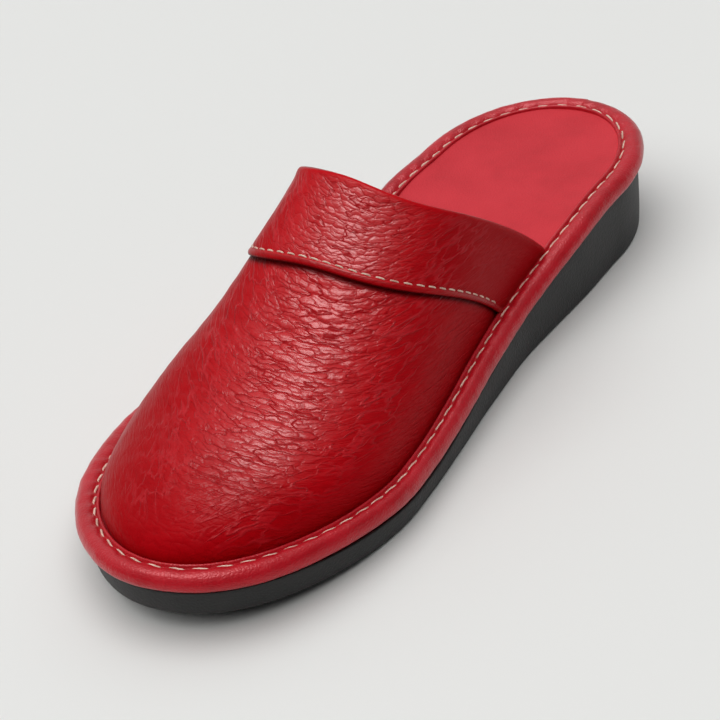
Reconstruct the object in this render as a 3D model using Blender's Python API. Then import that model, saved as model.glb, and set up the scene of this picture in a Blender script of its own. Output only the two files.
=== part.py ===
import bpy
import bmesh
import numpy as np

# A right-foot leather mule on a wedge sole. Sizes in millimetres, built in metres.
# World frame: +Z up, toe towards -Y, outer (lateral) side towards -X.
# Inside the functions y runs from the heel end of the stitch line to its toe end
# and x runs towards the outer side.
MM = 0.001

# Main sizes
STITCH_LENGTH = 250.0
BALL_WIDTH = 86.6
INSTEP_HEIGHT = 70.0
GAP = 0.3

# Outsole
HEEL_THICKNESS = 22.6
BALL_THICKNESS = 6.7
TOE_SPRING = 6.3
SPRING_START = 0.66
SOLE_OVERHANG = 3.5
SOLE_FLARE_IN = 0.9
SOLE_EDGE = 1.2

# Platform with its rolled edge
PLATFORM_TOP = 3.0
ROLL_RADIUS = 3.7
ROLL_OUT = 2.4
ROLL_UP = 2.7
SHOULDER_HEIGHT = 1.4
PLATFORM_SHOULDER = 0.5

# Insole
INSOLE_THICKNESS = 1.0

# Upper
UPPER_WALL = 1.6
UPPER_INSET = 2.4
FLANGE_REACH = 1.6
FLANGE_THICKNESS = 1.0
FLANGE_BEVEL = 0.15
SIDE_FULLNESS_WIDTH = 0.5
COLLAR_FOOT = 0.306
COLLAR_CREST = 0.519
COLLAR_SKEW = 0.012
TOE_CAP_RUN = 0.30
OPENING_CURVE = 1.3

# Cuff
CUFF_WALL = 1.2
CUFF_FOOT = 0.427
CUFF_CREST = 0.611
CUFF_SKEW = 0.004
CUFF_EDGE_RADIUS = 0.4
FOLD_RADIUS = 0.7
HEM_SHARE = 0.24

# Rounded ends of the outline, as shares of the length
HEEL_RUN = 0.16
TOE_RUN = 0.30

# Points round a ring, points over the upper and sections along it
RING = 88
ARCH = 32
SECTIONS = 26

# Plan: station from the heel, width as a share of BALL_WIDTH,
# shift of the middle to the outer side as a share of STITCH_LENGTH
PLAN = (
    (0.00, 0.692, 0.000),
    (0.16, 0.692, 0.000),
    (0.26, 0.716, 0.001),
    (0.38, 0.708, 0.001),
    (0.50, 0.794, 0.005),
    (0.60, 0.906, 0.010),
    (0.68, 0.984, 0.013),
    (0.76, 1.019, 0.010),
    (0.88, 1.025, 0.002),
    (1.00, 1.025, -0.014),
)

# Rolled edge: station, its width on the outer side and on the inner side as shares
EDGE = (
    (0.00, 1.00, 1.00),
    (0.12, 0.96, 0.95),
    (0.30, 0.97, 0.92),
    (0.50, 1.00, 0.80),
    (0.66, 1.00, 0.70),
    (0.84, 1.00, 0.76),
    (0.95, 1.00, 0.95),
    (1.00, 1.00, 1.00),
)

# Wedge: station, share of the way from ball thickness to heel thickness
WEDGE = (
    (-0.04, 1.00),
    (0.00, 1.00),
    (0.20, 0.96),
    (0.45, 0.40),
    (0.70, 0.00),
    (1.00, 0.08),
    (1.04, 0.08),
)

# Crest of the upper: station, height as a share of INSTEP_HEIGHT, power of the
# section's curve, lean of the crest to the outer side as a share of BALL_WIDTH
CREST = (
    (0.26, 1.362, 2.17, 0.036),
    (0.30, 1.252, 2.17, 0.036),
    (0.42, 0.973, 2.17, 0.036),
    (0.54, 0.707, 2.17, 0.030),
    (0.68, 0.463, 2.15, 0.000),
    (0.84, 0.314, 2.10, -0.070),
    (1.00, 0.257, 2.10, -0.070),
)

# Heights over the outsole's upper face where the layers lie
INSOLE_BOTTOM = PLATFORM_TOP + GAP
INSOLE_TOP = INSOLE_BOTTOM + INSOLE_THICKNESS
FLANGE_BOTTOM = INSOLE_TOP + GAP
FLANGE_TOP = FLANGE_BOTTOM + FLANGE_THICKNESS


def smooth(table, column, station):
    """Monotone cubic curve through one column of a table."""
    xs = np.array([row[0] for row in table])
    ys = np.array([row[column] for row in table])
    step = np.diff(xs)
    rate = np.diff(ys) / step
    slope = np.zeros(len(xs))
    slope[0] = rate[0]
    slope[-1] = rate[-1]
    for i in range(1, len(xs) - 1):
        if rate[i - 1] * rate[i] > 0:
            a = 2 * step[i] + step[i - 1]
            b = step[i] + 2 * step[i - 1]
            slope[i] = (a + b) / (a / rate[i - 1] + b / rate[i])
    s = np.clip(np.asarray(station, dtype=float), xs[0], xs[-1])
    k = np.clip(np.searchsorted(xs, s, side="right") - 1, 0, len(xs) - 2)
    t = (s - xs[k]) / step[k]
    start = (1 + 2 * t) * (1 - t) ** 2 * ys[k]
    end = t * t * (3 - 2 * t) * ys[k + 1]
    leave = t * (1 - t) ** 2 * step[k] * slope[k]
    arrive = t * t * (t - 1) * step[k] * slope[k + 1]
    return start + end + leave + arrive


def half_width(y, grow):
    """Half the outline's width at y, for an outline moved outwards by grow."""
    y = np.asarray(y, dtype=float)
    wide = smooth(PLAN, 1, y / STITCH_LENGTH) * BALL_WIDTH / 2 + grow
    heel = (HEEL_RUN * STITCH_LENGTH - y) / (HEEL_RUN * STITCH_LENGTH + grow)
    toe = (y - (1 - TOE_RUN) * STITCH_LENGTH) / (TOE_RUN * STITCH_LENGTH + grow)
    heel = np.clip(heel, 0, 1)
    toe = np.clip(toe, 0, 1)
    return wide * np.sqrt(1 - heel ** 2) * np.sqrt(1 - toe ** 2)


def middle(y):
    """The outline's middle line, to the outer side."""
    return smooth(PLAN, 2, np.asarray(y) / STITCH_LENGTH) * STITCH_LENGTH


def sole_bottom(y):
    """Height of the sole's underside: flat, then the toe spring."""
    rise = (np.asarray(y, dtype=float) / STITCH_LENGTH - SPRING_START) / (1 - SPRING_START)
    return TOE_SPRING * np.maximum(rise, 0) ** 2


def sole_top(y):
    """Height of the outsole's upper face."""
    share = smooth(WEDGE, 1, np.asarray(y) / STITCH_LENGTH)
    return sole_bottom(y) + BALL_THICKNESS + (HEEL_THICKNESS - BALL_THICKNESS) * share


def outline(grow, rolled=False):
    """A closed ring round the foot, starting at the heel's middle.

    A rolled ring is slimmer along the inner side, as EDGE tells.
    """
    turn = np.linspace(0, 2 * np.pi, RING, endpoint=False)
    reach = STITCH_LENGTH / 2 + grow
    y = STITCH_LENGTH / 2 - reach * np.cos(turn)
    side = np.sign(np.sin(turn))
    if rolled and grow > 0:
        station = y / STITCH_LENGTH
        grow = grow * np.where(side > 0, smooth(EDGE, 1, station), smooth(EDGE, 2, station))
    x = middle(y) + side * half_width(y, grow)
    x[0] = middle(y[0])
    x[RING // 2] = middle(y[RING // 2])
    return x, y


def to_world(x, y, z):
    """Foot coordinates in millimetres to world coordinates in metres."""
    return np.stack([-x, STITCH_LENGTH / 2 - y, z], axis=-1) * MM


def make_object(name, points, faces, colour, roughness):
    """One closed, outward-facing body with its own material."""
    mesh = bpy.data.meshes.new(name)
    mesh.from_pydata([tuple(p) for p in points], [], faces)
    form = bmesh.new()
    form.from_mesh(mesh)
    bmesh.ops.remove_doubles(form, verts=form.verts, dist=0.000002)
    bmesh.ops.dissolve_degenerate(form, edges=form.edges, dist=0.000002)
    bmesh.ops.recalc_face_normals(form, faces=form.faces)
    bmesh.ops.triangulate(form, faces=form.faces)
    form.to_mesh(mesh)
    form.free()
    material = bpy.data.materials.new(name)
    material.use_nodes = True
    shader = material.node_tree.nodes["Principled BSDF"]
    shader.inputs["Base Color"].default_value = (*colour, 1.0)
    shader.inputs["Roughness"].default_value = roughness
    shader.inputs["Metallic"].default_value = 0.0
    mesh.materials.append(material)
    mesh.shade_smooth()
    mesh.set_sharp_from_angle(angle=np.radians(40))
    body = bpy.data.objects.new(name, mesh)
    bpy.context.scene.collection.objects.link(body)
    return body


def ring_solid(name, rows, colour, roughness, rolled=False):
    """A solid from rings: rows of (grow, height function), bottom to top."""
    points = []
    faces = []
    for grow, height in rows:
        x, y = outline(grow, rolled)
        points.extend(to_world(x, y, height(y)))
    for k in range(len(rows) - 1):
        for i in range(RING):
            j = (i + 1) % RING
            faces.append((k * RING + i, k * RING + j, (k + 1) * RING + j, (k + 1) * RING + i))
    for base in (0, (len(rows) - 1) * RING):
        faces.append((base, base + 1, base + RING - 1))
        half = RING // 2
        for i in range(1, half - 1):
            faces.append((base + i, base + i + 1, base + RING - i - 1, base + RING - i))
        faces.append((base + half - 1, base + half, base + half + 1))
    return make_object(name, points, faces, colour, roughness)


def shell(foot_y, crest_y, skew, grow, end_height):
    """One arch over the foot: the upper's own surface, moved outwards by grow.

    foot_y and crest_y are where the arch stands and where it crosses the crest.
    skew moves its inner foot towards the toe and its outer foot towards the heel.
    end_height is where its two ends stop, over the outsole's upper face.
    """
    turn = np.linspace(0, np.pi, ARCH + 1)
    share = (foot_y + crest_y) / 2 / STITCH_LENGTH
    power = 2 / float(smooth(CREST, 2, share))
    lift = np.abs(np.sin(turn)) ** power
    lift[0] = 0
    lift[-1] = 0
    y = foot_y + (crest_y - foot_y) * (1 - (1 - lift) ** OPENING_CURVE)
    y = y - skew * np.cos(turn)
    front = STITCH_LENGTH - UPPER_INSET + grow
    start = (1 - TOE_CAP_RUN) * STITCH_LENGTH
    cap = np.clip((y - start) / (front - start), 0, 1)
    rise = smooth(CREST, 1, y / STITCH_LENGTH) * INSTEP_HEIGHT + grow
    rise = rise * np.sqrt(1 - cap ** 2.2)
    across = np.cos(turn)
    fade = np.clip((front - y) / 30.0, 0, 1)
    lean = smooth(CREST, 3, y / STITCH_LENGTH) * BALL_WIDTH * fade
    x = middle(y) + half_width(y, grow - UPPER_INSET) * np.sign(across) * np.abs(across) ** power
    x = x + np.sign(across) * SIDE_FULLNESS_WIDTH * fade * np.abs(np.sin(2 * turn))
    x = x + lean * np.sin(turn) ** 2
    z = sole_top(y) + FLANGE_TOP + rise * lift
    for end in (0, -1):
        z[end] = sole_top(y[end]) + end_height
    return x, y, z


def build_outsole():
    wall = SOLE_OVERHANG - SOLE_FLARE_IN
    rows = [
        (wall - SOLE_EDGE, lambda y: sole_bottom(y)),
        (wall - SOLE_EDGE * 0.3, lambda y: sole_bottom(y) + SOLE_EDGE * 0.3),
        (wall, lambda y: sole_bottom(y) + SOLE_EDGE),
        (wall + SOLE_FLARE_IN * 0.75, lambda y: sole_bottom(y) * 0.5 + sole_top(y) * 0.5),
        (SOLE_OVERHANG, lambda y: sole_top(y) - 0.6),
        (SOLE_OVERHANG - 0.5, lambda y: sole_top(y)),
    ]
    return ring_solid("outsole", rows, (0.022, 0.021, 0.021), 0.62)


def build_platform():
    rows = [(ROLL_OUT, lambda y: sole_top(y) + GAP)]
    for degrees in (-68, -40, -12, 14, 40, 65, 90, 112, 132):
        turn = np.radians(degrees)
        deep = ROLL_UP - GAP if degrees < 0 else ROLL_RADIUS
        height = ROLL_UP + deep * np.sin(turn)
        rows.append((ROLL_OUT + ROLL_RADIUS * np.cos(turn), lambda y, h=height: sole_top(y) + h))
    rows.append((-PLATFORM_SHOULDER, lambda y: sole_top(y) + PLATFORM_TOP + SHOULDER_HEIGHT))
    rows.append((-PLATFORM_SHOULDER, lambda y: sole_top(y) + PLATFORM_TOP))
    return ring_solid("platform", rows, (0.50, 0.012, 0.022), 0.42, rolled=True)


def build_insole():
    edge = -PLATFORM_SHOULDER - GAP
    rows = [
        (edge, lambda y: sole_top(y) + INSOLE_BOTTOM),
        (edge, lambda y: sole_top(y) + INSOLE_TOP - 0.3),
        (edge - 0.4, lambda y: sole_top(y) + INSOLE_TOP),
    ]
    return ring_solid("insole", rows, (0.56, 0.045, 0.055), 0.6)


def build_upper():
    loops = []
    front = STITCH_LENGTH - UPPER_INSET
    for k in range(SECTIONS + 1):
        share = np.sin(np.pi / 2 * k / SECTIONS)
        ring = []
        ends = (front, front - UPPER_WALL)
        feet = [COLLAR_FOOT * STITCH_LENGTH * (1 - share) + end * share for end in ends]
        crests = [COLLAR_CREST * STITCH_LENGTH * (1 - share) + end * share for end in ends]
        skew = COLLAR_SKEW * STITCH_LENGTH * (1 - share)
        outer = shell(feet[0], crests[0], skew, 0.0, FLANGE_TOP)
        inner = shell(feet[1], crests[1], skew, -UPPER_WALL, FLANGE_BOTTOM)
        reach = COLLAR_FOOT * STITCH_LENGTH * (1 - share) + (front + FLANGE_REACH) * share
        ring.extend(zip(*outer))
        y = reach + skew
        side = middle(y) - half_width(y, FLANGE_REACH - UPPER_INSET)
        ring.append((side, y, sole_top(y) + FLANGE_TOP - FLANGE_BEVEL))
        ring.append((side, y, sole_top(y) + FLANGE_BOTTOM))
        ring.extend(list(zip(*inner))[::-1])
        y = reach - skew
        side = middle(y) + half_width(y, FLANGE_REACH - UPPER_INSET)
        ring.append((side, y, sole_top(y) + FLANGE_BOTTOM))
        ring.append((side, y, sole_top(y) + FLANGE_TOP - FLANGE_BEVEL))
        loops.append(ring)
    size = len(loops[0])
    points = [to_world(*np.array(p)) for ring in loops for p in ring]
    faces = []
    for k in range(SECTIONS):
        for i in range(size):
            j = (i + 1) % size
            faces.append((k * size + i, k * size + j, (k + 1) * size + j, (k + 1) * size + i))
    # The rim round the throat, from the outer arch to the inner arch
    arch = ARCH + 1
    inner_start = arch + 2
    for i in range(ARCH):
        a = i
        b = i + 1
        c = inner_start + ARCH - (i + 1)
        d = inner_start + ARCH - i
        faces.append((a, b, c, d))
    faces.append((ARCH, arch, arch + 1, inner_start))
    faces.append((0, inner_start + ARCH, inner_start + arch, inner_start + arch + 1))
    return make_object("upper", points, faces, (0.42, 0.006, 0.014), 0.36)


def build_cuff():
    """The band's section runs down its outside, up its inside and over the rim."""
    band = (CUFF_CREST - COLLAR_CREST) * STITCH_LENGTH
    over = GAP / band
    top = (GAP + CUFF_WALL) / band
    outer = GAP + CUFF_WALL
    inner = -UPPER_WALL - GAP
    section = [
        (1.0, outer - CUFF_EDGE_RADIUS),
        (0.985, outer),
        (0.66, outer),
        (0.33, outer),
        (0.0, outer),
        (-top * 0.75, outer - 0.35),
        (-top, (outer + inner - CUFF_WALL) / 2 + FOLD_RADIUS),
        (-top, (outer + inner - CUFF_WALL) / 2 - FOLD_RADIUS),
        (-top * 0.75, inner - CUFF_WALL * 0.7),
        (0.0, inner - CUFF_WALL * 0.8),
        (HEM_SHARE, inner - CUFF_WALL * 0.8),
        (HEM_SHARE, inner),
        (0.0, inner),
        (-over, inner),
        (-over, GAP),
        (0.0, GAP),
        (0.33, GAP),
        (0.66, GAP),
        (1.0, GAP),
    ]
    points = []
    for share, grow in section:
        foot = (COLLAR_FOOT + (CUFF_FOOT - COLLAR_FOOT) * share) * STITCH_LENGTH
        crest = (COLLAR_CREST + (CUFF_CREST - COLLAR_CREST) * share) * STITCH_LENGTH
        skew = (COLLAR_SKEW + (CUFF_SKEW - COLLAR_SKEW) * share) * STITCH_LENGTH
        x, y, z = shell(foot, crest, skew, grow, FLANGE_TOP + GAP)
        points.extend(to_world(x, y, z))
    size = ARCH + 1
    count = len(section)
    faces = []
    for k in range(count):
        m = (k + 1) % count
        for i in range(ARCH):
            faces.append((k * size + i, k * size + i + 1, m * size + i + 1, m * size + i))
    faces.append(tuple(k * size for k in range(count)))
    faces.append(tuple(k * size + ARCH for k in range(count))[::-1])
    return make_object("cuff", points, faces, (0.44, 0.007, 0.016), 0.36)


def main():
    for old in list(bpy.data.objects):
        bpy.data.objects.remove(old)
    bodies = [build_outsole(), build_platform(), build_insole(), build_upper(), build_cuff()]
    low = np.min([v.co for body in bodies for v in body.data.vertices], axis=0)
    high = np.max([v.co for body in bodies for v in body.data.vertices], axis=0)
    shift = np.array([-(low[0] + high[0]) / 2, -(low[1] + high[1]) / 2, -low[2]])
    for body in bodies:
        for v in body.data.vertices:
            v.co = v.co + type(v.co)(shift)


main()
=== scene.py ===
import math
import bmesh
import bpy
import numpy as np
from mathutils import Matrix, Vector


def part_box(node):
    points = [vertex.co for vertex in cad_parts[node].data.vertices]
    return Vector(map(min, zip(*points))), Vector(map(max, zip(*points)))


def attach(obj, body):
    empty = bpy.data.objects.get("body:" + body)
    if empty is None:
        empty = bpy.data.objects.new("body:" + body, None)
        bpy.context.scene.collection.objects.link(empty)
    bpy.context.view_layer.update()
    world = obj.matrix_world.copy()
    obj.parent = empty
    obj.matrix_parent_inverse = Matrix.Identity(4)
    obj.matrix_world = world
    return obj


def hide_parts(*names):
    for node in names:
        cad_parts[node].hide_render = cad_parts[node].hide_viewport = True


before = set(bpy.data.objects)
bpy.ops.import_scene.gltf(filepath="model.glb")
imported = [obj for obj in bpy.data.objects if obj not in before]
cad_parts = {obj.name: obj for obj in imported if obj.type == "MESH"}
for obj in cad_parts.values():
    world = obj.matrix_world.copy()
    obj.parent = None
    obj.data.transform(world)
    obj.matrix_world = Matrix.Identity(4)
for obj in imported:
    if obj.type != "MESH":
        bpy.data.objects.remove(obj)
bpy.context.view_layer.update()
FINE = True
MM = 0.001

# The slipper's own sizes in millimetres, as in the solids
STITCH_LENGTH = 250.0
BALL_WIDTH = 86.6
INSTEP_HEIGHT = 70.0
HEEL_THICKNESS = 22.6
BALL_THICKNESS = 6.7
TOE_SPRING = 6.3
SPRING_START = 0.66
SOLE_OVERHANG = 3.5
SOLE_FLARE_IN = 0.9
SOLE_EDGE = 1.2
ROLL_RADIUS = 3.7
ROLL_OUT = 2.4
ROLL_UP = 2.7
INSOLE_TOP = 4.3
FLANGE_TOP = 5.6
UPPER_WALL = 1.6
UPPER_INSET = 2.4
SIDE_FULLNESS_WIDTH = 0.5
COLLAR_FOOT = 0.306
COLLAR_CREST = 0.519
COLLAR_SKEW = 0.012
TOE_CAP_RUN = 0.30
OPENING_CURVE = 1.3
CUFF_WALL = 1.2
CUFF_FOOT = 0.427
CUFF_CREST = 0.611
CUFF_SKEW = 0.004
HEEL_RUN = 0.16
TOE_RUN = 0.30
GAP = 0.3

# Plan: station from the heel, width as a share of BALL_WIDTH, shift of the middle
PLAN = (
    (0.00, 0.692, 0.000),
    (0.16, 0.692, 0.000),
    (0.26, 0.716, 0.001),
    (0.38, 0.708, 0.001),
    (0.50, 0.794, 0.005),
    (0.60, 0.906, 0.010),
    (0.68, 0.984, 0.013),
    (0.76, 1.019, 0.010),
    (0.88, 1.025, 0.002),
    (1.00, 1.025, -0.014),
)
# Rolled edge: station, its width on the outer side and on the inner side as shares
EDGE = (
    (0.00, 1.00, 1.00),
    (0.12, 0.96, 0.95),
    (0.30, 0.97, 0.92),
    (0.50, 1.00, 0.80),
    (0.66, 1.00, 0.70),
    (0.84, 1.00, 0.76),
    (0.95, 1.00, 0.95),
    (1.00, 1.00, 1.00),
)
# Wedge: station, share of the way from ball thickness to heel thickness
WEDGE = (
    (-0.04, 1.00),
    (0.00, 1.00),
    (0.20, 0.96),
    (0.45, 0.40),
    (0.70, 0.00),
    (1.00, 0.08),
    (1.04, 0.08),
)
# Crest: station, height share, power of the section, lean
CREST = (
    (0.26, 1.362, 2.17, 0.036),
    (0.30, 1.252, 2.17, 0.036),
    (0.42, 0.973, 2.17, 0.036),
    (0.54, 0.707, 2.17, 0.030),
    (0.68, 0.463, 2.15, 0.000),
    (0.84, 0.314, 2.10, -0.070),
    (1.00, 0.257, 2.10, -0.070),
)


def smooth(table, column, station):
    xs = np.array([row[0] for row in table])
    ys = np.array([row[column] for row in table])
    step = np.diff(xs)
    rate = np.diff(ys) / step
    slope = np.zeros(len(xs))
    slope[0] = rate[0]
    slope[-1] = rate[-1]
    for i in range(1, len(xs) - 1):
        if rate[i - 1] * rate[i] > 0:
            a = 2 * step[i] + step[i - 1]
            b = step[i] + 2 * step[i - 1]
            slope[i] = (a + b) / (a / rate[i - 1] + b / rate[i])
    s = np.clip(np.asarray(station, dtype=float), xs[0], xs[-1])
    k = np.clip(np.searchsorted(xs, s, side="right") - 1, 0, len(xs) - 2)
    t = (s - xs[k]) / step[k]
    start = (1 + 2 * t) * (1 - t) ** 2 * ys[k]
    end = t * t * (3 - 2 * t) * ys[k + 1]
    leave = t * (1 - t) ** 2 * step[k] * slope[k]
    arrive = t * t * (t - 1) * step[k] * slope[k + 1]
    return start + end + leave + arrive


def half_width(y, grow):
    y = np.asarray(y, dtype=float)
    wide = smooth(PLAN, 1, y / STITCH_LENGTH) * BALL_WIDTH / 2 + grow
    heel = (HEEL_RUN * STITCH_LENGTH - y) / (HEEL_RUN * STITCH_LENGTH + grow)
    toe = (y - (1 - TOE_RUN) * STITCH_LENGTH) / (TOE_RUN * STITCH_LENGTH + grow)
    return wide * np.sqrt(1 - np.clip(heel, 0, 1) ** 2) * np.sqrt(1 - np.clip(toe, 0, 1) ** 2)


def middle(y):
    return smooth(PLAN, 2, np.asarray(y) / STITCH_LENGTH) * STITCH_LENGTH


def sole_bottom(y):
    rise = (np.asarray(y, dtype=float) / STITCH_LENGTH - SPRING_START) / (1 - SPRING_START)
    return TOE_SPRING * np.maximum(rise, 0) ** 2


def sole_top(y):
    share = smooth(WEDGE, 1, np.asarray(y) / STITCH_LENGTH)
    return sole_bottom(y) + BALL_THICKNESS + (HEEL_THICKNESS - BALL_THICKNESS) * share


def outline(grow, turn, rolled=False):
    """Points of the outline moved outwards by grow; turn runs 0 to 2 pi from the heel."""
    reach = STITCH_LENGTH / 2 + grow
    y = STITCH_LENGTH / 2 - reach * np.cos(turn)
    side = np.sign(np.sin(turn))
    if rolled and grow > 0:
        station = y / STITCH_LENGTH
        grow = grow * np.where(side > 0, smooth(EDGE, 1, station), smooth(EDGE, 2, station))
    x = middle(y) + side * half_width(y, grow)
    return x, y


def even_turns(count):
    """Turns that space points evenly along the stitch line."""
    turn = np.linspace(0, 2 * np.pi, 4001)
    x, y = outline(0.0, turn)
    run = np.concatenate([[0], np.cumsum(np.hypot(np.diff(x), np.diff(y)))])
    return np.interp(np.linspace(0, run[-1], count, endpoint=False), run, turn), run[-1]


# The solids are centred on their own box, so the shift is read from the platform's box.
# The solid's ring has RING points, and its widest row lies at this angle of the roll.
RING = 88
WIDEST_ROW = 12
edge_x, _ = outline(
    ROLL_OUT + ROLL_RADIUS * math.cos(math.radians(WIDEST_ROW)),
    np.linspace(0, 2 * np.pi, RING + 1)[:-1],
    True,
)
box_low, box_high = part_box("platform")
SHIFT_X = (box_low[0] + box_high[0]) / 2 / MM - (np.max(-edge_x) + np.min(-edge_x)) / 2


def to_world(x, y, z):
    """Foot coordinates in millimetres to world coordinates in metres."""
    world = [-np.asarray(x) + SHIFT_X, STITCH_LENGTH / 2 - np.asarray(y), np.asarray(z)]
    return np.stack(world, axis=-1) * MM


# Noise in numpy, repeatable
def lattice(i, j, seed):
    v = np.sin(i * 127.1 + j * 311.7 + seed * 74.7) * 43758.5453
    return v - np.floor(v)


def value_noise(u, v, seed):
    i, j = np.floor(u), np.floor(v)
    a, b = u - i, v - j
    a, b = a * a * (3 - 2 * a), b * b * (3 - 2 * b)
    low = lattice(i, j, seed) * (1 - a) + lattice(i + 1, j, seed) * a
    high = lattice(i, j + 1, seed) * (1 - a) + lattice(i + 1, j + 1, seed) * a
    return (low * (1 - b) + high * b) * 2 - 1


def layered(u, v, seed, layers=3):
    total, size, norm = 0.0, 1.0, 0.0
    for k in range(layers):
        total = total + value_noise(u / size, v / size, seed + k * 7.3) * size
        norm += size
        size *= 0.5
    return total / norm


def ease(x, low, high):
    """Rises smoothly from 0 at low to 1 at high. With low above high it falls."""
    t = np.clip((x - low) / (high - low), 0, 1)
    return t * t * (3 - 2 * t)


def bell(x, centre, spread, power=2):
    """1 at the centre and near 0 beyond twice the spread. A higher power has steeper sides."""
    return np.exp(-np.abs((x - centre) / spread) ** power)


# Mesh making
def grid_faces(rows, columns, wrap=False):
    """Quads over a grid of points, row after row. wrap joins each row's end to its start."""
    across = np.arange(columns if wrap else columns - 1)
    k, i = np.meshgrid(np.arange(rows - 1) * columns, across, indexing="ij")
    j = (i + 1) % columns
    quads = np.stack([k + i, k + j, k + columns + j, k + columns + i], axis=-1)
    return quads.reshape(-1, 4)


def build(name, points, faces, material, attributes=None, uv=None, sharp=None):
    """A mesh object. attributes and uv hold a value for each point, sharp is an angle in degrees."""
    mesh = bpy.data.meshes.new(name)
    if isinstance(faces, np.ndarray):
        faces = faces.tolist()
    mesh.from_pydata(np.asarray(points).tolist(), [], [tuple(face) for face in faces])
    mesh.validate()
    for key, values in (attributes or {}).items():
        layer = mesh.attributes.new(key, "FLOAT", "POINT")
        layer.data.foreach_set("value", np.asarray(values, dtype=np.float32).ravel())
    if uv is not None:
        layer = mesh.uv_layers.new(name="UVMap")
        loops = np.zeros(len(mesh.loops), dtype=np.int32)
        mesh.loops.foreach_get("vertex_index", loops)
        places = np.asarray(uv, dtype=np.float32).reshape(-1, 2)
        layer.data.foreach_set("uv", places[loops].ravel())
    mesh.materials.append(material)
    mesh.shade_smooth()
    if sharp:
        mesh.set_sharp_from_angle(angle=math.radians(sharp))
    piece = bpy.data.objects.new(name, mesh)
    bpy.context.scene.collection.objects.link(piece)
    return piece


def face_out(piece):
    """Turns the faces outwards."""
    form = bmesh.new()
    form.from_mesh(piece.data)
    bmesh.ops.recalc_face_normals(form, faces=form.faces)
    form.to_mesh(piece.data)
    form.free()


# Node helpers
class Nodes:
    def __init__(self, name):
        self.material = bpy.data.materials.new(name)
        self.material.use_nodes = True
        self.tree = self.material.node_tree
        self.shader = self.tree.nodes["Principled BSDF"]

    def add(self, kind, **settings):
        """A node. Settings named in_ set its sockets, by name or number, the rest itself."""
        node = self.tree.nodes.new(kind)
        for key, value in settings.items():
            if key.startswith("in_"):
                socket = key[3:]
                socket = int(socket) if socket.isdigit() else socket.replace("_", " ")
                node.inputs[socket].default_value = value
            else:
                setattr(node, key, value)
        return node

    def join(self, source, target):
        self.tree.links.new(source, target)
        return target

    def math(self, operation, a, b=None, c=None):
        node = self.add("ShaderNodeMath", operation=operation)
        for socket, value in zip(node.inputs, (a, b, c)):
            if value is None:
                continue
            if isinstance(value, (int, float)):
                socket.default_value = value
            else:
                self.join(value, socket)
        return node.outputs[0]

    def times(self, a, b, plus=0.0):
        """a * b + plus"""
        return self.math("MULTIPLY_ADD", a, b, plus)

    def ramp(self, source, stops, mode="LINEAR"):
        node = self.add("ShaderNodeValToRGB")
        node.color_ramp.interpolation = mode
        elements = node.color_ramp.elements
        while len(elements) < len(stops):
            elements.new(0.5)
        for element, (place, colour) in zip(elements, stops):
            element.position = place
            element.color = (*colour, 1) if len(colour) == 3 else colour
        self.join(source, node.inputs[0])
        return node.outputs[0]

    def mix(self, share, a, b, blend="MIX"):
        node = self.add("ShaderNodeMix", data_type="RGBA", blend_type=blend)
        for socket, value in ((node.inputs[0], share), (node.inputs[6], a), (node.inputs[7], b)):
            if isinstance(value, (int, float)):
                socket.default_value = value
            elif isinstance(value, tuple):
                socket.default_value = (*value, 1)
            else:
                self.join(value, socket)
        return node.outputs[2]

    def noise(self, vector, scale, detail=4.0, rough=0.55, flat=False, output="Fac"):
        node = self.add("ShaderNodeTexNoise", in_Scale=scale, in_Detail=detail, in_Roughness=rough)
        node.noise_dimensions = "2D" if flat else "3D"
        self.join(vector, node.inputs["Vector"])
        return node.outputs[output]

    def attribute(self, name):
        return self.add("ShaderNodeAttribute", attribute_name=name).outputs["Fac"]

    def bump(self, height, strength, distance, normal=None):
        node = self.add("ShaderNodeBump", in_Strength=strength, in_Distance=distance)
        self.join(height, node.inputs["Height"])
        if normal is not None:
            self.join(normal, node.inputs["Normal"])
        return node.outputs["Normal"]


# Colours, linear
RED = (0.59, 0.0030, 0.0080)
# The deeper red that burnish and painted shade mix towards
RED_DEEP = (0.37, 0.0010, 0.0040)
# Painted highlight colour for the fine ridges
RIDGE_HIGHLIGHT_TONE = (0.84, 0.050, 0.070)
# Reflections of the dyed leather itself are red, those of its finish are not
DYE_TINT = (1.0, 0.14, 0.18, 1.0)
SHEEN_TINT = (0.85, 0.72, 0.80, 1.0)
WRAP_TONES = ((0.40, 0.003, 0.009), (0.50, 0.006, 0.015), (0.56, 0.010, 0.022))
SOCK_TONES = ((0.54, 0.026, 0.036), (0.60, 0.033, 0.045), (0.64, 0.041, 0.054))
LINING_TONES = ((0.34, 0.012, 0.020), (0.42, 0.020, 0.030), (0.50, 0.030, 0.040))
THREAD_TONES = ((0.58, 0.34, 0.26), (0.79, 0.55, 0.44), (0.89, 0.69, 0.56))
RUBBER_TONES = ((0.008, 0.008, 0.008), (0.014, 0.014, 0.014), (0.024, 0.023, 0.023))

# The leather's pattern, per millimetre or in millimetres. Shifts only set patterns apart.
SWAY_SCALE = 0.28
SWAY_REACH = (2.6, 1.9, 0.0)
PATCH_SCALE = 0.13
TINT_SCALE = 0.06
PORE_SCALE = 2.2
PEBBLE_SHARE = (0.55, 0.50)
PEBBLE_SHIFT = 19.0
# Fine ridges on the flanks: size over and along the foot, shift, thickness
RIDGES = (
    (12.0, 7.4, 3.0, 0.34),
    (8.6, 6.0, 31.0, 0.30),
)
# Long cracks over several plates: size in plates over and along the foot, shift, thickness
CRACK = (3.0, 2.4, 7.0, 0.20)
# Gaps between single plates: width as a share of a plate, strength beside the long cracks
GAP_WIDTH = 0.12
GAP_SHARE = 0.55
# Ridges and gaps fade in patches: the noise's range, and what is left at its low end
PATCH_RANGE = (0.36, 0.60)
PATCH_LEFT = 0.5

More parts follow.
